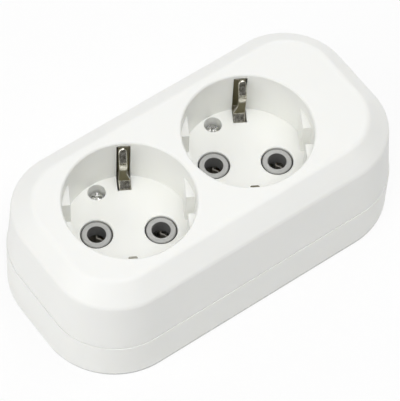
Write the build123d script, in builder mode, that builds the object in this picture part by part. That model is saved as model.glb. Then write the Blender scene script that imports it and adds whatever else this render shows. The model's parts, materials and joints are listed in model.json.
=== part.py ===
import os
from math import cos, radians, sin

from build123d import *

os.makedirs("parts", exist_ok=True)

# Housing outline in millimetres, at the underside, the parting line, the shoulder and the top
body_height = 39.65
parting_height = 14.8
shoulder_height = 34.45
foot_length = 119.5
foot_width = 61.8
foot_corner = 23.4
foot_bevel = 0.5
parting_length = 116.7
parting_width = 60.7
parting_corner = 20.6
shoulder_length = 114.8
shoulder_width = 57.7
shoulder_corner = 20.1
top_length = 103.1
top_width = 44.6
top_corner = 14.6
shoulder_radius = 1.8
crown_radius = 2.8

# Parting line: the tray stands proud of the cover by a ledge below a fine groove
ledge = 0.25
ledge_bevel = 0.1
seam = 0.2

# Walls and the lip that locates the two mouldings
wall = 2.2
roof = 2.2
tray_floor = 2.5
lip = 0.9
lip_height = 1.6
lip_clearance = 0.15

# Wells, their pin line turned by 30 degrees
well_pitch = 42.47
well_shift = 4.72
well_turn = -30.0
well_radius = 19.65
well_depth = 17.4
well_floor = 2.0
well_wall = 1.8
rim_bevel = 0.4
pin_pitch = 19.0
pin_hole_radius = 4.88
pin_hole_bevel = 0.25

# Side guides of a well
guide_chord = 16.85
guide_height = 12.2
guide_groove = 5.6

# Earth slots
slot_width = 4.1
slot_start = 14.5
slot_height = 15.8

# Earth clips: distances from the well's axis, heights above its floor
clip_thickness = 0.6
clip_width = 3.5
clip_offset = 0.15
clip_strap = 7.0
clip_root = 15.0
clip_root_drop = 0.6
clip_bend = 17.25
clip_bend_height = 1.4
clip_crest = 15.7
clip_crest_height = 11.4
clip_crest_radius = 2.4
clip_tip = 19.05
clip_tip_height = 15.75
clip_tongue = 2.45
clip_taper = 5.5
clip_edge = 0.2
clip_leg_knee = 21.9
clip_leg_drop = 1.3
clip_leg_top = 19.9
clip_leg_height = 15.3

# Grey carriers
bush_radius = 4.42
bush_bore = 2.85
bush_drop = 0.35
bush_bevel = 0.25
carrier_plate = 2.6
carrier_edge = 0.7
post_radius = 2.75
post_spigot = 1.0

# Contacts and busbars
strip = 0.8
leaf = 0.5
contact_gap = 0.95
contact_bottom = 5.5
contact_mouth = 2.9
contact_mouth_reach = 3.2
contact_throat = 1.3
contact_throat_reach = 2.25
contact_bulge = 2.8
contact_bulge_radius = 2.3
contact_back = 3.0
contact_back_reach = 3.0
contact_fold = 0.45
bar_bottom = 5.0
bar_height = 8.0
bar_overhang = 5.0
web_offset = 4.05
rivet_radius = 1.1
rivet_head = 2.0
rivet_tail = 1.7
rivet_clearance = 0.05
rib_thickness = 1.6
rib_span = 5.0

# Cord inlet, saddle and clamp at the +x end
cord_radius = 4.0
inlet_radius = 4.3
clamp_setback = 6.35
clamp_sink = 0.8
clamp_width = 5.0
clamp_span = 11.0
clamp_pitch = 16.0
clamp_ear = 3.0
clamp_bow = 1.8
clamp_boss = 3.0
clamp_screw = 1.45
clamp_screw_length = 11.0
clamp_head = 2.4
clamp_head_height = 1.8

# Terminals beside the inlet
terminal_setback = 12.0
terminal_length = 9.0
terminal_width = 4.8
terminal_height = 9.0
terminal_grip = 3.4
wire_radius = 1.6
wire_depth = 5.0
terminal_screw = 1.5
terminal_screw_length = 3.4
terminal_screw_shift = 2.0
terminal_tap = 4.0
terminal_head = 2.3
terminal_head_height = 1.9
earth_block_height = 8.5
earth_bar_width = 5.0
earth_bar_y = -14.8
earth_bar_overhang = 12.0
earth_post = 2.2

# Cover screws
screw_offset = 16.6
recess_radius = 2.7
head_radius = 2.15
head_height = 2.1
head_rim = 1.4
head_drop = 2.3
shank_radius = 1.5
screw_clearance = 0.1
screw_bottom = 6.0
sleeve_radius = 4.4
sleeve_web = 2.35
boss_radius = 4.0
screw_slot = 0.7
cross_span = 3.2
cross_depth = 1.3
cross_turns = [50.0, 5.0]

# Derived levels and places
seat_gap = 0.05
cut = 0.1
floor_top = body_height - well_depth
floor_under = floor_top - well_floor
strap_top = floor_under - seat_gap
strap_bottom = strap_top - clip_thickness
strap_middle = strap_bottom + clip_thickness / 2
plate_top = strap_bottom - seat_gap
plate_bottom = plate_top - carrier_plate
head_top = floor_top - head_drop
head_seat = head_top - head_height
sleeve_bottom = head_seat - sleeve_web
guide_depth = well_radius - guide_chord + 0.2
guide_middle = guide_chord + guide_depth / 2
cavity_length = parting_length - 2 * wall
cavity_width = parting_width - 2 * wall
cavity_corner = parting_corner - wall
cavity_shoulder = shoulder_height - 1.05
shoulder_inset = 0.9 * wall
top_inset = 0.3 * wall
well_left = -well_shift - well_pitch / 2
well_right = -well_shift + well_pitch / 2
turn_cos = cos(radians(well_turn))
turn_sin = sin(radians(well_turn))
pin_x = pin_pitch / 2 * turn_cos
pin_y = -pin_pitch / 2 * turn_sin
pole_y = pin_y + web_offset
bar_y = pole_y + leaf / 2 + strip / 2
rivet_z = bar_bottom + bar_height / 2
contact_height = plate_bottom - contact_gap - contact_bottom
wells = [(well_left, 0), (well_right, 0)]
line_pins = [(well_left - pin_x, pin_y), (well_right - pin_x, pin_y)]
neutral_pins = [(well_left + pin_x, -pin_y), (well_right + pin_x, -pin_y)]
cover_screw_places = [(well_left, screw_offset), (well_right, screw_offset)]
earth_bar_top = strap_bottom - seat_gap
earth_bar_bottom = earth_bar_top - strip
clamp_x = parting_length / 2 - clamp_setback
clamp_seat = parting_height - clamp_sink
clamp_holes = [(clamp_x, clamp_pitch / 2), (clamp_x, -clamp_pitch / 2)]
terminal_start = clamp_x - terminal_setback
terminal_end = terminal_start + terminal_length
terminal_x = terminal_start + terminal_length / 2
terminal_top = bar_bottom + terminal_height


# White upper moulding with the two wells
with BuildPart() as top_cover:
    with BuildSketch(Plane.XY.offset(parting_height)):
        RectangleRounded(parting_length - 2 * seam, parting_width - 2 * seam, parting_corner - seam)
    with BuildSketch(Plane.XY.offset(parting_height + seam)):
        RectangleRounded(parting_length, parting_width, parting_corner)
    with BuildSketch(Plane.XY.offset(shoulder_height)):
        RectangleRounded(shoulder_length, shoulder_width, shoulder_corner)
    with BuildSketch(Plane.XY.offset(body_height)):
        RectangleRounded(top_length, top_width, top_corner)
    loft(ruled=True)
    shoulder = top_cover.edges().filter_by_position(Axis.Z, shoulder_height - 0.01, shoulder_height + 0.01)
    fillet(shoulder, shoulder_radius)
    crown = top_cover.edges().filter_by_position(Axis.Z, body_height - 0.01, body_height + 0.01)
    fillet(crown, crown_radius)
    # Hollow below the roof
    with BuildSketch(Plane.XY.offset(parting_height)):
        RectangleRounded(cavity_length, cavity_width, cavity_corner)
    with BuildSketch(Plane.XY.offset(cavity_shoulder)):
        RectangleRounded(
            shoulder_length - 2 * shoulder_inset,
            shoulder_width - 2 * shoulder_inset,
            shoulder_corner - shoulder_inset,
        )
    with BuildSketch(Plane.XY.offset(body_height - roof)):
        RectangleRounded(top_length - 2 * top_inset, top_width - 2 * top_inset, top_corner - top_inset)
    loft(ruled=True, mode=Mode.SUBTRACT)
    # Rabbet for the lip of the tray
    with BuildSketch(Plane.XY.offset(parting_height)):
        RectangleRounded(
            cavity_length + 2 * (lip + lip_clearance),
            cavity_width + 2 * (lip + lip_clearance),
            cavity_corner + lip + lip_clearance,
        )
    extrude(amount=lip_height + lip_clearance, mode=Mode.SUBTRACT)
    # Well tubes and their floors
    with BuildSketch(Plane.XY.offset(floor_under)):
        with Locations(*wells):
            Circle(well_radius + well_wall)
    extrude(amount=body_height - roof + 0.3 - floor_under)
    with BuildSketch(Plane.XY.offset(sleeve_bottom)):
        with Locations(*cover_screw_places):
            Circle(sleeve_radius)
    extrude(amount=floor_under + 0.5 - sleeve_bottom)
    # Wells above the guides, then between and behind them
    with BuildSketch(Plane.XY.offset(floor_top + guide_height)):
        with Locations(*wells):
            Circle(well_radius)
    extrude(amount=well_depth - guide_height, mode=Mode.SUBTRACT)
    with BuildSketch(Plane.XY.offset(floor_top)):
        with Locations(*wells):
            Circle(well_radius)
        with Locations(*[Location((x, 0, 0), (0, 0, well_turn)) for x, y in wells]):
            with Locations((guide_middle, 0), (-guide_middle, 0)):
                Rectangle(guide_depth, 2 * well_radius, mode=Mode.SUBTRACT)
        with Locations(*[Location((x, 0, 0), (0, 0, well_turn)) for x, y in wells]):
            Rectangle(2 * well_radius - 0.4, guide_groove)
    extrude(amount=guide_height, mode=Mode.SUBTRACT)
    rims = top_cover.edges().filter_by(GeomType.CIRCLE)
    rims = rims.filter_by_position(Axis.Z, body_height - 0.01, body_height + 0.01)
    rims = rims.filter_by(lambda e: abs(e.radius - well_radius) < 0.01)
    chamfer(rims, rim_bevel)
    # Pin holes, screw holes and earth slots
    with BuildSketch(Plane.XY.offset(floor_under - cut)):
        with Locations(*line_pins, *neutral_pins):
            Circle(pin_hole_radius)
    extrude(amount=well_floor + 2 * cut, mode=Mode.SUBTRACT)
    pin_edges = top_cover.edges().filter_by(GeomType.CIRCLE)
    pin_edges = pin_edges.filter_by_position(Axis.Z, floor_top - 0.01, floor_top + 0.01)
    pin_edges = pin_edges.filter_by(lambda e: abs(e.radius - pin_hole_radius) < 0.01)
    chamfer(pin_edges, pin_hole_bevel)
    with BuildSketch(Plane.XY.offset(head_seat)):
        with Locations(*cover_screw_places):
            Circle(recess_radius)
    extrude(amount=floor_top + cut - head_seat, mode=Mode.SUBTRACT)
    with BuildSketch(Plane.XY.offset(sleeve_bottom - cut)):
        with Locations(*cover_screw_places):
            Circle(shank_radius + 2 * screw_clearance)
    extrude(amount=head_seat + 2 * cut - sleeve_bottom, mode=Mode.SUBTRACT)
    slot_length = well_radius + well_wall + 1.0 - slot_start
    with BuildSketch(Plane.XY.offset(floor_under - cut)):
        with Locations(*[Location((x, 0, 0), (0, 0, well_turn + 90)) for x, y in wells]):
            with Locations((slot_start + slot_length / 2, 0), (-slot_start - slot_length / 2, 0)):
                Rectangle(slot_length, slot_width)
    extrude(amount=well_floor + cut + slot_height, mode=Mode.SUBTRACT)
    # Upper half of the cord inlet
    with BuildSketch(Plane.YZ.offset(clamp_x)):
        with Locations((0, parting_height)):
            Circle(inlet_radius)
    extrude(amount=foot_length / 2 - clamp_x + 1, mode=Mode.SUBTRACT)
top_cover.part.label = "top_cover"
export_step(top_cover.part, "parts/top_cover.step")


# White lower moulding with posts, bosses, busbar ribs and the cord saddle
last_rib = (neutral_pins[1][0] + contact_back + terminal_start) / 2
line_ribs = [well_left, -well_shift, well_right, last_rib]
neutral_ribs = [-well_shift, well_right, last_rib]
ribs = [(x, bar_y) for x in line_ribs] + [(x, -bar_y) for x in neutral_ribs]
with BuildPart() as base_tray:
    with BuildSketch(Plane.XY):
        RectangleRounded(foot_length - 2 * foot_bevel, foot_width - 2 * foot_bevel, foot_corner - foot_bevel)
    with BuildSketch(Plane.XY.offset(foot_bevel)):
        RectangleRounded(foot_length, foot_width, foot_corner)
    with BuildSketch(Plane.XY.offset(parting_height - ledge_bevel)):
        RectangleRounded(parting_length + 2 * ledge, parting_width + 2 * ledge, parting_corner + ledge)
    ledge_top = ledge - ledge_bevel
    with BuildSketch(Plane.XY.offset(parting_height)):
        RectangleRounded(parting_length + 2 * ledge_top, parting_width + 2 * ledge_top, parting_corner + ledge_top)
    loft(ruled=True)
    with BuildSketch(Plane.XY.offset(parting_height)):
        RectangleRounded(cavity_length + 2 * lip, cavity_width + 2 * lip, cavity_corner + lip)
    extrude(amount=lip_height)
    with BuildSketch(Plane.XY.offset(tray_floor)):
        RectangleRounded(cavity_length, cavity_width, cavity_corner)
    extrude(amount=body_height, mode=Mode.SUBTRACT)
    # Posts under the carriers and under the earth busbar
    with BuildSketch(Plane.XY.offset(tray_floor)):
        with Locations(*wells):
            Circle(post_radius)
    extrude(amount=plate_bottom + post_spigot - seat_gap - tray_floor)
    with BuildSketch(Plane.XY.offset(tray_floor)):
        with Locations((well_left, earth_bar_y), (well_right, earth_bar_y)):
            Circle(earth_post)
    extrude(amount=earth_bar_bottom - tray_floor)
    # Bosses for the cover screws
    with BuildSketch(Plane.XY.offset(tray_floor)):
        with Locations(*cover_screw_places):
            Circle(boss_radius)
    extrude(amount=sleeve_bottom - seat_gap - tray_floor)
    with BuildSketch(Plane.XY.offset(screw_bottom - 0.5)):
        with Locations(*cover_screw_places):
            Circle(shank_radius + screw_clearance / 2)
    extrude(amount=sleeve_bottom - screw_bottom + 1, mode=Mode.SUBTRACT)
    # Slotted ribs that hold the busbars on edge
    with BuildSketch(Plane.XY.offset(tray_floor)):
        with Locations(*ribs):
            Rectangle(rib_thickness, rib_span)
    extrude(amount=bar_bottom + bar_height - tray_floor)
    with BuildSketch(Plane.XY.offset(bar_bottom)):
        with Locations(*ribs):
            Rectangle(2 * rib_thickness, strip + 2 * seat_gap)
    extrude(amount=bar_height + 1, mode=Mode.SUBTRACT)
    # Pads under the terminals
    with BuildSketch(Plane.XY.offset(tray_floor)):
        with Locations((terminal_x, bar_y), (terminal_x, -bar_y)):
            Rectangle(terminal_length - 1, terminal_width - 0.6)
    extrude(amount=bar_bottom - tray_floor)
    with BuildSketch(Plane.XY.offset(tray_floor)):
        with Locations((terminal_x, earth_bar_y)):
            Rectangle(terminal_length - 1, earth_bar_width - 0.6)
    extrude(amount=earth_bar_bottom - earth_block_height - tray_floor)
    # Saddle and bosses of the cord clamp
    with BuildSketch(Plane.XY.offset(tray_floor)):
        with Locations(*clamp_holes):
            Circle(clamp_boss)
        with Locations((clamp_x, 0)):
            Rectangle(clamp_width - 2.0, clamp_pitch)
    extrude(amount=clamp_seat - tray_floor)
    with BuildSketch(Plane.XY.offset(clamp_seat + clamp_ear - clamp_screw_length - 0.5)):
        with Locations(*clamp_holes):
            Circle(clamp_screw + screw_clearance / 2)
    extrude(amount=clamp_seat, mode=Mode.SUBTRACT)
    with BuildSketch(Plane.YZ.offset(clamp_x - clamp_width)):
        with Locations((0, parting_height)):
            Circle(cord_radius)
    extrude(amount=2 * clamp_width, mode=Mode.SUBTRACT)
    # Lower half of the cord inlet
    with BuildSketch(Plane.YZ.offset(clamp_x + clamp_width / 2)):
        with Locations((0, parting_height)):
            Circle(inlet_radius)
    extrude(amount=foot_length / 2 - clamp_x + 1, mode=Mode.SUBTRACT)
base_tray.part.label = "base_tray"
export_step(base_tray.part, "parts/base_tray.step")


# Grey carrier with two pin bushes, one below each well
with BuildPart() as contact_carrier_left:
    with BuildSketch(Plane.XY.offset(plate_bottom)):
        with Locations((well_left, 0)):
            SlotCenterToCenter(pin_pitch, 2 * (bush_radius + carrier_edge), rotation=well_turn)
    extrude(amount=carrier_plate)
    with BuildSketch(Plane.XY.offset(plate_top)):
        with Locations(line_pins[0], neutral_pins[0]):
            Circle(bush_radius)
    extrude(amount=floor_top - bush_drop - plate_top)
    bush_edges = contact_carrier_left.edges().group_by(Axis.Z)[-1]
    chamfer(bush_edges, bush_bevel)
    with BuildSketch(Plane.XY.offset(plate_bottom - cut)):
        with Locations(line_pins[0], neutral_pins[0]):
            Circle(bush_bore)
    extrude(amount=floor_top - plate_bottom + 1, mode=Mode.SUBTRACT)
    with BuildSketch(Plane.XY.offset(plate_bottom)):
        with Locations((well_left, 0)):
            Circle(post_radius + screw_clearance)
    extrude(amount=post_spigot, mode=Mode.SUBTRACT)
contact_carrier_left.part.label = "contact_carrier_left"
export_step(contact_carrier_left.part, "parts/contact_carrier_left.step")

with BuildPart() as contact_carrier_right:
    add(contact_carrier_left.part.moved(Location((well_pitch, 0, 0))))
contact_carrier_right.part.label = "contact_carrier_right"
export_step(contact_carrier_right.part, "parts/contact_carrier_right.step")


# Sprung earth strip: a strap below the floor, and at each end a foot that rises through the slot and
# narrows to a bowed contact tongue, flush with one edge, with a wide leg that leans behind it
pin_axis = Vector(turn_cos, turn_sin, 0)
earth_axis = Vector(-turn_sin, turn_cos, 0)
clip_origin = Vector(well_left, 0, 0) + pin_axis * clip_offset
side_plane = Plane(origin=clip_origin, x_dir=earth_axis, z_dir=pin_axis)
front_plane = Plane(origin=clip_origin, x_dir=pin_axis, z_dir=-earth_axis)
foot_bottom = floor_top - clip_root_drop
tip_top = floor_top + clip_tip_height
tip_shoulder = tip_top - clip_tongue / 2
strip_overrun = 1.3
strip_end = clip_crest + strip_overrun * (clip_tip - clip_crest)
strip_end_z = floor_top + clip_crest_height + strip_overrun * (clip_tip_height - clip_crest_height)
tongue_start = -clip_width / 2
tongue_end = tongue_start + clip_tongue
tongue_middle = tongue_start + clip_tongue / 2
with BuildPart() as earth_clip_left:
    with BuildSketch(side_plane):
        with BuildLine():
            FilletPolyline(
                (-strip_end, strip_end_z),
                (-clip_crest, floor_top + clip_crest_height),
                (-clip_bend, floor_top + clip_bend_height),
                (-clip_root, foot_bottom),
                (-clip_root, strap_middle),
                (clip_root, strap_middle),
                (clip_root, foot_bottom),
                (clip_bend, floor_top + clip_bend_height),
                (clip_crest, floor_top + clip_crest_height),
                (strip_end, strip_end_z),
                radius=[clip_crest_radius, *6 * [clip_thickness], clip_crest_radius],
            )
        trace(line_width=clip_thickness)
    extrude(amount=clip_width / 2, both=True)
    with BuildSketch(front_plane):
        with BuildLine():
            Polyline(
                (tongue_start, tip_shoulder),
                (tongue_start, strap_bottom - 1),
                (clip_width / 2, strap_bottom - 1),
                (clip_width / 2, floor_top + clip_bend_height),
                (tongue_end, floor_top + clip_taper),
                (tongue_end, tip_shoulder),
            )
            ThreePointArc((tongue_end, tip_shoulder), (tongue_middle, tip_top), (tongue_start, tip_shoulder))
        make_face()
    extrude(amount=2 * clip_tip, both=True, mode=Mode.INTERSECT)
    tongue_edges = earth_clip_left.edges().filter_by_position(Axis.Z, floor_top + clip_taper, tip_top + 1)
    tongue_edges = tongue_edges.filter_by(Axis((0, 0, 0), tuple(pin_axis)), reverse=True)
    tongue_edges = tongue_edges.filter_by(lambda e: e.length > 1.5 * clip_thickness)
    chamfer(tongue_edges, clip_edge)
    # Leg behind the tongue at each end
    with BuildSketch(side_plane):
        for end in (-1, 1):
            with BuildLine():
                FilletPolyline(
                    (end * clip_root, floor_top - clip_leg_drop),
                    (end * clip_leg_knee, floor_top - clip_leg_drop),
                    (end * clip_leg_top, floor_top + clip_leg_height),
                    radius=clip_thickness,
                )
            trace(line_width=clip_thickness)
    extrude(amount=clip_width / 2, both=True)
    with BuildSketch(Plane.XY.offset(strap_bottom)):
        with Locations(clip_origin):
            Rectangle(2 * (slot_start - clip_strap / 2), clip_strap, rotation=well_turn + 90)
    extrude(amount=clip_thickness)
earth_clip_left.part.label = "earth_clip_left"
export_step(earth_clip_left.part, "parts/earth_clip_left.step")

# The same strip in the other well, turned end for end
with BuildPart() as earth_clip_right:
    turned_clip = earth_clip_left.part.rotate(Axis((well_left, 0, 0), (0, 0, 1)), 180)
    add(turned_clip.moved(Location((well_pitch, 0, 0))))
earth_clip_right.part.label = "earth_clip_right"
export_step(earth_clip_right.part, "parts/earth_clip_right.step")


# Flat strip that joins both earth clips to the earth terminal
earth_start = well_left - earth_bar_overhang
with BuildPart() as earth_busbar:
    with BuildSketch(Plane.XY.offset(earth_bar_bottom)):
        with Locations(((earth_start + terminal_end) / 2, earth_bar_y)):
            Rectangle(terminal_end - earth_start, earth_bar_width)
        with Locations((terminal_x, earth_bar_y)):
            Circle(terminal_screw + screw_clearance, mode=Mode.SUBTRACT)
    extrude(amount=strip)
earth_busbar.part.label = "earth_busbar"
export_step(earth_busbar.part, "parts/earth_busbar.step")


# Line and neutral busbars on edge, drilled for the contact rivets
bar_end = terminal_start + terminal_grip
line_start = line_pins[0][0] - bar_overhang
neutral_start = neutral_pins[0][0] - bar_overhang
with BuildPart() as line_busbar:
    with BuildSketch(Plane.XY.offset(bar_bottom)):
        with Locations(((line_start + bar_end) / 2, bar_y)):
            Rectangle(bar_end - line_start, strip)
    extrude(amount=bar_height)
    with BuildSketch(Plane.XZ.offset(-bar_y - strip)):
        with Locations(*[(x, rivet_z) for x, y in line_pins]):
            Circle(rivet_radius + rivet_clearance)
    extrude(amount=2 * strip, mode=Mode.SUBTRACT)
line_busbar.part.label = "line_busbar"
export_step(line_busbar.part, "parts/line_busbar.step")

with BuildPart() as neutral_busbar:
    with BuildSketch(Plane.XY.offset(bar_bottom)):
        with Locations(((neutral_start + bar_end) / 2, -bar_y)):
            Rectangle(bar_end - neutral_start, strip)
    extrude(amount=bar_height)
    with BuildSketch(Plane.XZ.offset(bar_y - strip)):
        with Locations(*[(x, rivet_z) for x, y in neutral_pins]):
            Circle(rivet_radius + rivet_clearance)
    extrude(amount=2 * strip, mode=Mode.SUBTRACT)
neutral_busbar.part.label = "neutral_busbar"
export_step(neutral_busbar.part, "parts/neutral_busbar.step")


# Folded spring contact for one pin, a sleeve of two round leaves and a web riveted to its busbar
leaf_folds = [contact_fold, contact_bulge_radius, *3 * [contact_fold]]
with BuildPart() as line_contact_left:
    with BuildSketch(Plane(origin=(*line_pins[0], contact_bottom))):
        with BuildLine():
            FilletPolyline(
                (-contact_mouth, -contact_mouth_reach),
                (-contact_throat, -contact_throat_reach),
                (-contact_bulge, 0),
                (-contact_throat, contact_throat_reach),
                (-contact_back, contact_back_reach),
                (-contact_back, web_offset),
                (contact_back, web_offset),
                (contact_back, contact_back_reach),
                (contact_throat, contact_throat_reach),
                (contact_bulge, 0),
                (contact_throat, -contact_throat_reach),
                (contact_mouth, -contact_mouth_reach),
                radius=leaf_folds + leaf_folds[::-1],
            )
        trace(line_width=leaf)
    extrude(amount=contact_height)
    with BuildSketch(Plane.XZ.offset(-pole_y - leaf)):
        with Locations((line_pins[0][0], rivet_z)):
            Circle(rivet_radius + rivet_clearance)
    extrude(amount=2 * leaf, mode=Mode.SUBTRACT)
line_contact_left.part.label = "line_contact_left"
export_step(line_contact_left.part, "parts/line_contact_left.step")

with BuildPart() as line_contact_right:
    add(line_contact_left.part.moved(Location((well_pitch, 0, 0))))
line_contact_right.part.label = "line_contact_right"
export_step(line_contact_right.part, "parts/line_contact_right.step")

with BuildPart() as neutral_contact_left:
    add(line_contact_left.part.rotate(Axis((well_left, 0, 0), (0, 0, 1)), 180))
neutral_contact_left.part.label = "neutral_contact_left"
export_step(neutral_contact_left.part, "parts/neutral_contact_left.step")

with BuildPart() as neutral_contact_right:
    add(neutral_contact_left.part.moved(Location((well_pitch, 0, 0))))
neutral_contact_right.part.label = "neutral_contact_right"
export_step(neutral_contact_right.part, "parts/neutral_contact_right.step")


# Four rivets that hold the contacts on the busbars
rivet_inside = pole_y - leaf / 2
rivet_outside = bar_y + strip / 2
with BuildPart() as contact_rivets:
    with BuildSketch(Plane.XZ.offset(-rivet_outside)):
        with Locations(*[(x, rivet_z) for x, y in line_pins]):
            Circle(rivet_radius)
    extrude(amount=rivet_outside - rivet_inside)
    with BuildSketch(Plane.XZ.offset(-rivet_outside)):
        with Locations(*[(x, rivet_z) for x, y in line_pins]):
            Circle(rivet_head)
    extrude(amount=-leaf)
    with BuildSketch(Plane.XZ.offset(-rivet_inside)):
        with Locations(*[(x, rivet_z) for x, y in line_pins]):
            Circle(rivet_tail)
    extrude(amount=leaf / 2)
    with BuildSketch(Plane.XZ.offset(rivet_outside)):
        with Locations(*[(x, rivet_z) for x, y in neutral_pins]):
            Circle(rivet_radius)
    extrude(amount=-(rivet_outside - rivet_inside))
    with BuildSketch(Plane.XZ.offset(rivet_outside)):
        with Locations(*[(x, rivet_z) for x, y in neutral_pins]):
            Circle(rivet_head)
    extrude(amount=leaf)
    with BuildSketch(Plane.XZ.offset(rivet_inside)):
        with Locations(*[(x, rivet_z) for x, y in neutral_pins]):
            Circle(rivet_tail)
    extrude(amount=-leaf / 2)
contact_rivets.part.label = "contact_rivets"
export_step(contact_rivets.part, "parts/contact_rivets.step")


# Brass terminal with a slot for the busbar, a wire hole and a tapped hole
with BuildPart() as line_terminal:
    with BuildSketch(Plane.XY.offset(bar_bottom)):
        with Locations((terminal_x, bar_y)):
            Rectangle(terminal_length, terminal_width)
    extrude(amount=terminal_height)
    with BuildSketch(Plane.XY.offset(bar_bottom)):
        with Locations((terminal_start + terminal_grip / 2, bar_y)):
            Rectangle(terminal_grip + 2 * seat_gap, strip + 2 * seat_gap)
    extrude(amount=bar_height + seat_gap, mode=Mode.SUBTRACT)
    with BuildSketch(Plane.YZ.offset(terminal_end - wire_depth)):
        with Locations((bar_y, bar_bottom + terminal_height / 2)):
            Circle(wire_radius)
    extrude(amount=wire_depth + cut, mode=Mode.SUBTRACT)
    with BuildSketch(Plane.XY.offset(terminal_top - terminal_tap)):
        with Locations((terminal_x + terminal_screw_shift, bar_y)):
            Circle(terminal_screw + screw_clearance / 2)
    extrude(amount=terminal_tap + cut, mode=Mode.SUBTRACT)
line_terminal.part.label = "line_terminal"
export_step(line_terminal.part, "parts/line_terminal.step")

with BuildPart() as neutral_terminal:
    add(line_terminal.part.mirror(Plane.XZ))
neutral_terminal.part.label = "neutral_terminal"
export_step(neutral_terminal.part, "parts/neutral_terminal.step")

with BuildPart() as earth_terminal:
    with BuildSketch(Plane.XY.offset(earth_bar_bottom - earth_block_height)):
        with Locations((terminal_x, earth_bar_y)):
            Rectangle(terminal_length, earth_bar_width)
    extrude(amount=earth_block_height)
    with BuildSketch(Plane.YZ.offset(terminal_end - wire_depth - terminal_screw_shift)):
        with Locations((earth_bar_y, earth_bar_bottom - earth_block_height / 2)):
            Circle(wire_radius)
    extrude(amount=terminal_length, mode=Mode.SUBTRACT)
    with BuildSketch(Plane.XY.offset(earth_bar_bottom - terminal_tap)):
        with Locations((terminal_x, earth_bar_y)):
            Circle(terminal_screw + screw_clearance / 2)
    extrude(amount=terminal_tap + cut, mode=Mode.SUBTRACT)
earth_terminal.part.label = "earth_terminal"
export_step(earth_terminal.part, "parts/earth_terminal.step")


# Three slotted terminal screws
terminal_places = [
    (terminal_x + terminal_screw_shift, bar_y, terminal_top),
    (terminal_x + terminal_screw_shift, -bar_y, terminal_top),
    (terminal_x, earth_bar_y, earth_bar_top),
]
with BuildPart() as terminal_screws:
    with Locations(*terminal_places):
        Cylinder(terminal_head, terminal_head_height, align=(Align.CENTER, Align.CENTER, Align.MIN))
        Cylinder(terminal_screw, terminal_screw_length, align=(Align.CENTER, Align.CENTER, Align.MAX))
    with Locations(*[(x, y, z + terminal_head_height) for x, y, z in terminal_places]):
        Box(3 * terminal_head, screw_slot, 2 * screw_slot, mode=Mode.SUBTRACT)
terminal_screws.part.label = "terminal_screws"
export_step(terminal_screws.part, "parts/terminal_screws.step")


# Bar that presses the cord on the saddle
with BuildPart() as cord_clamp:
    with BuildSketch(Plane.XY.offset(clamp_seat)):
        with Locations((clamp_x, 0)):
            SlotOverall(2 * clamp_span, clamp_width, rotation=90)
    extrude(amount=clamp_ear)
    with BuildSketch(Plane.YZ.offset(clamp_x - clamp_width / 2)):
        with Locations((0, parting_height)):
            Circle(cord_radius + clamp_bow)
    extrude(amount=clamp_width)
    with BuildSketch(Plane.XY.offset(clamp_seat)):
        with Locations((clamp_x, 0)):
            Rectangle(2 * clamp_width, 3 * clamp_span)
    extrude(amount=-2 * cord_radius, mode=Mode.SUBTRACT)
    with BuildSketch(Plane.YZ.offset(clamp_x - clamp_width)):
        with Locations((0, parting_height)):
            Circle(cord_radius)
    extrude(amount=2 * clamp_width, mode=Mode.SUBTRACT)
    with BuildSketch(Plane.XY.offset(clamp_seat - cut)):
        with Locations(*clamp_holes):
            Circle(clamp_screw + screw_clearance)
    extrude(amount=clamp_ear + 2 * cut, mode=Mode.SUBTRACT)
cord_clamp.part.label = "cord_clamp"
export_step(cord_clamp.part, "parts/cord_clamp.step")

clamp_places = [(x, y, clamp_seat + clamp_ear) for x, y in clamp_holes]
with BuildPart() as cord_clamp_screws:
    with Locations(*clamp_places):
        Cylinder(clamp_head, clamp_head_height, align=(Align.CENTER, Align.CENTER, Align.MIN))
        Cylinder(clamp_screw, clamp_screw_length, align=(Align.CENTER, Align.CENTER, Align.MAX))
    with Locations(*[(x, y, z + clamp_head_height) for x, y, z in clamp_places]):
        Box(cross_span, screw_slot, 2 * cross_depth, mode=Mode.SUBTRACT)
        Box(screw_slot, cross_span, 2 * cross_depth, mode=Mode.SUBTRACT)
cord_clamp_screws.part.label = "cord_clamp_screws"
export_step(cord_clamp_screws.part, "parts/cord_clamp_screws.step")


# Two sunk pan-head screws with a cross recess that hold the cover on the tray
with BuildPart() as cover_screws:
    for x, y in cover_screw_places:
        with BuildSketch(Plane.XZ.offset(-y)):
            with BuildLine():
                TangentArc((x, head_top), (x + head_radius, head_seat + head_rim), tangent=(1, 0))
                Polyline(
                    (x + head_radius, head_seat + head_rim),
                    (x + head_radius, head_seat),
                    (x + shank_radius, head_seat),
                    (x + shank_radius, screw_bottom),
                    (x, screw_bottom),
                    (x, head_top),
                )
            make_face()
        revolve(axis=Axis((x, y, 0), (0, 0, 1)))
    # Each screw stopped at its own angle
    cross_places = [
        Location((x, y, head_top), (0, 0, turn))
        for (x, y), turn in zip(cover_screw_places, cross_turns)
    ]
    with Locations(*cross_places):
        Box(cross_span, screw_slot, 2 * cross_depth, mode=Mode.SUBTRACT)
        Box(screw_slot, cross_span, 2 * cross_depth, mode=Mode.SUBTRACT)
cover_screws.part.label = "cover_screws"
export_step(cover_screws.part, "parts/cover_screws.step")
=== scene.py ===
import json
import math

import bpy
from mathutils import Matrix, Vector

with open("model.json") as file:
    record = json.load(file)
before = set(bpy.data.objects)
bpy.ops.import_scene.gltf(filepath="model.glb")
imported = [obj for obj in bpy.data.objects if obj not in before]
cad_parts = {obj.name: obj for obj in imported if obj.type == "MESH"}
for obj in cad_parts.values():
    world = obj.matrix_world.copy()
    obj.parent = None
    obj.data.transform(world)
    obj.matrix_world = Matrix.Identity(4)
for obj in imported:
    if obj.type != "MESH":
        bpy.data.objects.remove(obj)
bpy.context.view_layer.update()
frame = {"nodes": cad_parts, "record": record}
nodes = frame["nodes"]
scene = bpy.context.scene
scene.view_settings.view_transform = "Standard"


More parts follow.
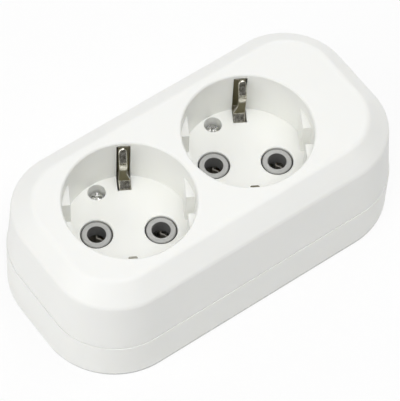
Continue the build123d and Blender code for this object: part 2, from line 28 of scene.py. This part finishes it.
# Places on the part that the materials refer to, in metres

WELL_PITCH = 0.04247
WELL_SHIFT = 0.00472
TONGUE_RADIUS = 0.0158
BUSH_FACE_START = 0.0205
BUSH_FACE_END = 0.0212


# Node helpers

NOISE_LOW = 0.3
NOISE_HIGH = 0.7


def new_material(name):
    """An empty Principled material with the object coordinates ready for textures."""
    mat = bpy.data.materials.new(name)
    mat.use_nodes = True
    tree = mat.node_tree
    coords = tree.nodes.new("ShaderNodeTexCoord")
    return mat, tree, tree.nodes["Principled BSDF"], coords.outputs["Object"]


def feed(tree, socket, source):
    """Sets a socket to a plain number or links it to another node's output."""
    if isinstance(source, float):
        socket.default_value = source
    else:
        tree.links.new(source, socket)


def combined(tree, operation, first, second):
    """One value made of two by the named operation."""
    node = tree.nodes.new("ShaderNodeMath")
    node.operation = operation
    feed(tree, node.inputs[0], first)
    feed(tree, node.inputs[1], second)
    return node.outputs[0]


def graded(tree, value, start, end, low=0.0, high=1.0):
    """A value that goes from low to high while another goes from start to end."""
    node = tree.nodes.new("ShaderNodeMapRange")
    node.inputs["From Min"].default_value = start
    node.inputs["From Max"].default_value = end
    node.inputs["To Min"].default_value = low
    node.inputs["To Max"].default_value = high
    tree.links.new(value, node.inputs["Value"])
    return node.outputs["Result"]


def axes_of(tree, vector):
    """The X, Y and Z parts of a vector."""
    node = tree.nodes.new("ShaderNodeSeparateXYZ")
    tree.links.new(vector, node.inputs["Vector"])
    return node.outputs


def noise(tree, coords, scale, detail=2.0):
    node = tree.nodes.new("ShaderNodeTexNoise")
    node.inputs["Scale"].default_value = scale
    node.inputs["Detail"].default_value = detail
    tree.links.new(coords, node.inputs["Vector"])
    return node.outputs["Fac"]


def ramp(tree, value, low, high):
    """Colours between low and high, spread over the middle of a noise value."""
    node = tree.nodes.new("ShaderNodeValToRGB")
    first, last = node.color_ramp.elements
    first.position = NOISE_LOW
    last.position = NOISE_HIGH
    first.color = (*low, 1.0)
    last.color = (*high, 1.0)
    tree.links.new(value, node.inputs["Fac"])
    return node.outputs["Color"]


def spread(tree, value, low, high):
    """A noise value mapped to the range from low to high."""
    return graded(tree, value, NOISE_LOW, NOISE_HIGH, low, high)


def shades(colour, drift=0.05):
    """A slightly darker and a slightly paler tone of a colour."""
    return tuple((1 - drift) * c for c in colour), tuple((1 + drift) * c for c in colour)


def facing(tree, start, end):
    """A share that grows from 0 to 1 as the upward part of a face's normal goes from start to end."""
    geometry = tree.nodes.new("ShaderNodeNewGeometry")
    return graded(tree, axes_of(tree, geometry.outputs["Normal"])["Z"], start, end)


def openness(tree, reach, clear):
    """How open a point is: 0 in gaps much narrower than the reach, 1 on free faces."""
    shelter = tree.nodes.new("ShaderNodeAmbientOcclusion")
    shelter.samples = 8
    shelter.inputs["Distance"].default_value = reach
    return graded(tree, shelter.outputs["AO"], start=0.0, end=clear)


def well_distance(tree, coords):
    """Distance of a point from the axis of the nearer well."""
    axes = axes_of(tree, coords)
    along = combined(tree, "ADD", axes["X"], WELL_SHIFT)
    along = combined(tree, "ABSOLUTE", along, 0.0)
    along = combined(tree, "SUBTRACT", along, WELL_PITCH / 2)
    flat = tree.nodes.new("ShaderNodeCombineXYZ")
    tree.links.new(along, flat.inputs["X"])
    tree.links.new(axes["Y"], flat.inputs["Y"])
    length = tree.nodes.new("ShaderNodeVectorMath")
    length.operation = "LENGTH"
    tree.links.new(flat.outputs["Vector"], length.inputs[0])
    return length.outputs["Value"]


def paint_shade(tree, shader, colour, shade_colour, shade_free):
    """A base colour that turns to a painted shade colour where the share free of shade is low."""
    mix = tree.nodes.new("ShaderNodeMix")
    mix.data_type = "RGBA"
    mix.inputs["A"].default_value = (*shade_colour, 1.0)
    tree.links.new(shade_free, mix.inputs["Factor"])
    tree.links.new(colour, mix.inputs["B"])
    tree.links.new(mix.outputs["Result"], shader.inputs["Base Color"])


def bump(tree, shader, height, distance, strength, edge):
    """Fine relief, on a normal that rounds sharp edges off by the given radius."""
    rounded = tree.nodes.new("ShaderNodeBevel")
    rounded.samples = 6
    rounded.inputs["Radius"].default_value = edge
    node = tree.nodes.new("ShaderNodeBump")
    tree.links.new(rounded.outputs["Normal"], node.inputs["Normal"])
    node.inputs["Distance"].default_value = distance
    node.inputs["Strength"].default_value = strength
    tree.links.new(height, node.inputs["Height"])
    tree.links.new(node.outputs["Normal"], shader.inputs["Normal"])


# Materials

def moulded_plastic(name, low, high, rough, grain):
    """Moulded plastic with a faint colour drift, uneven gloss, a fine eroded grain and painted shade, a
    dark grey, in narrow gaps.

    The underside lies on the floor and gets none of the painted shade.
    """
    mat, tree, shader, coords = new_material(name)
    colour = ramp(tree, noise(tree, coords, scale=55.0), low, high)
    underside = facing(tree, start=-0.8, end=-0.9)
    # Painted shade: narrow gaps and seams darken to a dark grey; faces turned to the floor are spared.
    shade_free = combined(tree, "MAXIMUM", openness(tree, reach=0.0008, clear=0.45), underside)
    paint_shade(tree, shader, colour, shade_colour=(0.30, 0.30, 0.28), shade_free=shade_free)
    sheen = noise(tree, coords, scale=240.0, detail=3.0)
    tree.links.new(spread(tree, sheen, low=rough - 0.04, high=rough + 0.05), shader.inputs["Roughness"])
    bump(tree, shader, noise(tree, coords, scale=3200.0), distance=0.00002, strength=grain, edge=0.0003)
    shader.inputs["IOR"].default_value = 1.49
    shader.inputs["Specular IOR Level"].default_value = 0.4
    shader.inputs["Subsurface Weight"].default_value = 0.3
    shader.inputs["Subsurface Radius"].default_value = (1.0, 0.95, 0.85)
    shader.inputs["Subsurface Scale"].default_value = 0.001
    return mat


def carrier_plastic(name, face, bore_shade):
    """Grey moulded plastic: the top faces of its bushes are paler, rubbed by plugs, and the rest carries
    painted shade, a dark grey that mostly shows in the bores.
    """
    mat, tree, shader, coords = new_material(name)
    # Painted shade: everything but the top faces of the bushes takes the dark bore tone.
    raised = graded(tree, axes_of(tree, coords)["Z"], BUSH_FACE_START, BUSH_FACE_END)
    rubbed = combined(tree, "MINIMUM", facing(tree, start=0.1, end=0.9), raised)
    mix = tree.nodes.new("ShaderNodeMix")
    mix.data_type = "RGBA"
    tree.links.new(rubbed, mix.inputs["Factor"])
    drift = noise(tree, coords, scale=180.0, detail=3.0)
    tree.links.new(ramp(tree, drift, *shades(bore_shade)), mix.inputs["A"])
    tree.links.new(ramp(tree, drift, *shades(face)), mix.inputs["B"])
    tree.links.new(mix.outputs["Result"], shader.inputs["Base Color"])
    sheen = noise(tree, coords, scale=300.0, detail=3.0)
    tree.links.new(spread(tree, sheen, low=0.45, high=0.58), shader.inputs["Roughness"])
    bump(tree, shader, noise(tree, coords, scale=2600.0), distance=0.00002, strength=0.35, edge=0.0002)
    return mat


def strip_metal(name, low, high, shade_tint, rough, edge=0.0002, dull_metallic=0.3, dull_rough=0.6,
                rubbed_within=None, dull_slope=None, mottle=420.0, dents=0.00001, dent_scale=5200.0):
    """Rolled metal with fine scratches and painted shade, a dark dull tint, in its corners and on faces
    turned downward.

    Plugs rub it bright, free of the painted shade, wherever it stands closer than rubbed_within to the axis
    of a well. The painted shade also deepens from place to place against the direction of the slope vector.
    """
    mat, tree, shader, coords = new_material(name)
    colour = ramp(tree, noise(tree, coords, mottle, detail=4.0), low, high)
    # Painted shade: downward faces, recesses and the front of the part take a dark, dull tint, except where
    # plugs rub the metal bright.
    shade_free = facing(tree, start=-0.12, end=-0.02)
    if rubbed_within:
        rim = 0.0001
        rubbed = graded(tree, well_distance(tree, coords), rubbed_within + rim, rubbed_within - rim)
        shade_free = combined(tree, "MAXIMUM", shade_free, rubbed)
    shade_free = combined(tree, "MULTIPLY", shade_free, openness(tree, reach=0.005, clear=0.8))
    if dull_slope:
        place = tree.nodes.new("ShaderNodeVectorMath")
        place.operation = "DOT_PRODUCT"
        place.inputs[1].default_value = dull_slope
        tree.links.new(coords, place.inputs[0])
        kept_bright = graded(tree, place.outputs["Value"], start=-0.7, end=0.0)
        shade_free = combined(tree, "MULTIPLY", shade_free, kept_bright)
    paint_shade(tree, shader, colour, shade_tint, shade_free)
    shader.inputs["Metallic"].default_value = 1.0
    if dull_metallic < 1.0:
        metallic = graded(tree, shade_free, start=0.0, end=1.0, low=dull_metallic)
        tree.links.new(metallic, shader.inputs["Metallic"])
    sheen = noise(tree, coords, scale=900.0, detail=3.0)
    gloss = tree.nodes.new("ShaderNodeMix")
    gloss.inputs["A"].default_value = dull_rough
    tree.links.new(shade_free, gloss.inputs["Factor"])
    tree.links.new(spread(tree, sheen, low=0.7 * rough, high=1.4 * rough), gloss.inputs["B"])
    tree.links.new(gloss.outputs["Result"], shader.inputs["Roughness"])
    stretch = tree.nodes.new("ShaderNodeMapping")
    stretch.inputs["Scale"].default_value = (1.0, 1.0, 0.08)
    tree.links.new(coords, stretch.inputs["Vector"])
    scratches = noise(tree, stretch.outputs["Vector"], dent_scale)
    bump(tree, shader, scratches, distance=dents, strength=0.3, edge=edge)
    return mat


# The dark second colours given to the metals below are painted shade.
materials = {
    "white_plastic": moulded_plastic(
        "white_plastic",
        low=(0.953, 0.957, 0.918),
        high=(0.966, 0.97, 0.931),
        rough=0.42,
        grain=0.25,
    ),
    "grey_plastic": carrier_plastic(
        "grey_plastic",
        face=(0.49, 0.49, 0.48),
        bore_shade=(0.20, 0.20, 0.20),
    ),
    "plated_strip": strip_metal(
        "plated_strip",
        low=(0.30, 0.28, 0.22),
        high=(0.86, 0.84, 0.76),
        shade_tint=(0.135, 0.12, 0.06),
        rough=0.13,
        edge=0.0005,
        rubbed_within=TONGUE_RADIUS,
        dull_slope=(-9.0, 48.0, 0.0),
        mottle=1100.0,
        dents=0.00006,
        dent_scale=1500.0,
    ),
    "brass_strip": strip_metal(
        "brass_strip",
        low=(0.60, 0.43, 0.18),
        high=(0.74, 0.56, 0.28),
        shade_tint=(0.25, 0.17, 0.07),
        rough=0.3,
    ),
    "brass_contact": strip_metal(
        "brass_contact",
        low=(0.66, 0.64, 0.57),
        high=(0.80, 0.78, 0.71),
        shade_tint=(0.45, 0.42, 0.35),
        rough=0.3,
    ),
    "zinc_screw": strip_metal(
        "zinc_screw",
        low=(0.78, 0.78, 0.77),
        high=(0.95, 0.95, 0.94),
        shade_tint=(0.58, 0.58, 0.57),
        rough=0.15,
        dull_metallic=1.0,
        dull_rough=0.15,
    ),
}
for part in frame["record"]["subparts"]:
    piece = nodes[part["node"]]
    piece.data.materials.clear()
    piece.data.materials.append(materials[part["material_slot"]])


# Floor that shows white to the camera, keeps a faint shadow and carries a painted contact shadow along the
# front

FLOOR_HALF = 2.5
FLOOR_DROP = 0.0002
FLOOR_COLOUR = (0.92, 0.92, 0.915, 1.0)
WHITE_SHARE = 0.86
CONTACT_REACH = 0.0005
CONTACT_SHARPNESS = 2.5
CONTACT_SIDE = (-0.6, 0.7, 0.6)


def painted_contact_shadow(tree):
    """Light of the floor, dimmed to a thin dark line where the front of the housing meets it: a painted
    contact shadow.
    """
    contact = tree.nodes.new("ShaderNodeAmbientOcclusion")
    contact.inputs["Distance"].default_value = CONTACT_REACH
    tilt = tree.nodes.new("ShaderNodeCombineXYZ")
    for axis, value in zip("XYZ", CONTACT_SIDE):
        tilt.inputs[axis].default_value = value
    tree.links.new(tilt.outputs["Vector"], contact.inputs["Normal"])
    return combined(tree, "POWER", contact.outputs["AO"], CONTACT_SHARPNESS)


def floor_material():
    """A pale matt floor that is mostly plain white wherever it is seen directly or in a reflection."""
    mat = bpy.data.materials.new("pale_floor")
    mat.use_nodes = True
    tree = mat.node_tree
    tree.nodes.clear()
    out = tree.nodes.new("ShaderNodeOutputMaterial")
    diffuse = tree.nodes.new("ShaderNodeBsdfDiffuse")
    diffuse.inputs["Color"].default_value = FLOOR_COLOUR
    white = tree.nodes.new("ShaderNodeEmission")
    # The white glow carries the painted contact shadow.
    tree.links.new(painted_contact_shadow(tree), white.inputs["Strength"])
    rays = tree.nodes.new("ShaderNodeLightPath").outputs
    seen = combined(tree, "MAXIMUM", rays["Is Camera Ray"], rays["Is Glossy Ray"])
    seen = combined(tree, "MAXIMUM", seen, rays["Is Transmission Ray"])
    mix = tree.nodes.new("ShaderNodeMixShader")
    tree.links.new(combined(tree, "MULTIPLY", seen, WHITE_SHARE), mix.inputs["Fac"])
    tree.links.new(diffuse.outputs["BSDF"], mix.inputs[1])
    tree.links.new(white.outputs["Emission"], mix.inputs[2])
    tree.links.new(mix.outputs["Shader"], out.inputs["Surface"])
    return mat


corners = [
    (-FLOOR_HALF, -FLOOR_HALF, 0),
    (FLOOR_HALF, -FLOOR_HALF, 0),
    (FLOOR_HALF, FLOOR_HALF, 0),
    (-FLOOR_HALF, FLOOR_HALF, 0),
]
floor_mesh = bpy.data.meshes.new("floor")
floor_mesh.from_pydata(corners, [], [(0, 1, 2, 3)])
floor = bpy.data.objects.new("floor", floor_mesh)
floor.location.z = -FLOOR_DROP
floor_mesh.materials.append(floor_material())
scene.collection.objects.link(floor)


# Studio light, placed by the angles at which the object sees it

SKY_STRENGTH = 0.182
LAMP_DISTANCE = 1.1
HIGH_SIDE = 0.6
LOW_SIDE = 0.9


def direction_of(azimuth, elevation):
    """Unit vector from the object towards a place at these angles, in degrees."""
    a = math.radians(azimuth)
    e = math.radians(elevation)
    return Vector((math.sin(a) * math.cos(e), -math.cos(a) * math.cos(e), math.sin(e)))


def soft_lamp(name, azimuth, elevation, power, side):
    """A square softbox that faces the object."""
    direction = direction_of(azimuth, elevation)
    lamp = bpy.data.lights.new(name, "AREA")
    lamp.size = side
    lamp.energy = power
    obj = bpy.data.objects.new(name, lamp)
    obj.location = LAMP_DISTANCE * direction
    obj.rotation_mode = "QUATERNION"
    obj.rotation_quaternion = direction.to_track_quat("Z", "Y")
    scene.collection.objects.link(obj)


world = bpy.data.worlds.new("studio")
scene.world = world
world.use_nodes = True
sky = world.node_tree.nodes["Background"]
sky.inputs["Color"].default_value = (1.0, 1.0, 1.0, 1.0)
sky.inputs["Strength"].default_value = SKY_STRENGTH
soft_lamp("key", azimuth=-45, elevation=70, power=3.15, side=HIGH_SIDE)
soft_lamp("left", azimuth=-90, elevation=35, power=4.82, side=LOW_SIDE)
soft_lamp("fill", azimuth=45, elevation=70, power=3.59, side=HIGH_SIDE)
soft_lamp("rim", azimuth=135, elevation=25, power=3.92, side=LOW_SIDE)


# Camera at the photograph's angle

AZIMUTH = -38.483
ELEVATION = 57.454
ROLL = math.radians(3.203)
DISTANCE = 0.85892
AIM = Vector((-0.00472, -0.00017, 0.0))
OFFSET_RIGHT = 0.004208
OFFSET_UP = 0.01101
FOCAL_PIXELS = 2841.28
LONG_SIDE_PIXELS = 401

camera_data = bpy.data.cameras.new("camera")
camera_data.sensor_width = 36.0
camera_data.lens = FOCAL_PIXELS * camera_data.sensor_width / LONG_SIDE_PIXELS
camera_data.clip_start = 0.05
camera_data.clip_end = 20.0
camera = bpy.data.objects.new("camera", camera_data)
back = direction_of(AZIMUTH, ELEVATION)
level = Vector((math.cos(math.radians(AZIMUTH)), math.sin(math.radians(AZIMUTH)), 0.0))
upright = back.cross(level)
right = math.cos(ROLL) * level + math.sin(ROLL) * upright
up = math.cos(ROLL) * upright - math.sin(ROLL) * level
place = AIM + OFFSET_RIGHT * right + OFFSET_UP * up + DISTANCE * back
camera.matrix_world = Matrix((
    (right.x, up.x, back.x, place.x),
    (right.y, up.y, back.y, place.y),
    (right.z, up.z, back.z, place.z),
    (0.0, 0.0, 0.0, 1.0),
))
scene.collection.objects.link(camera)
scene.camera = camera
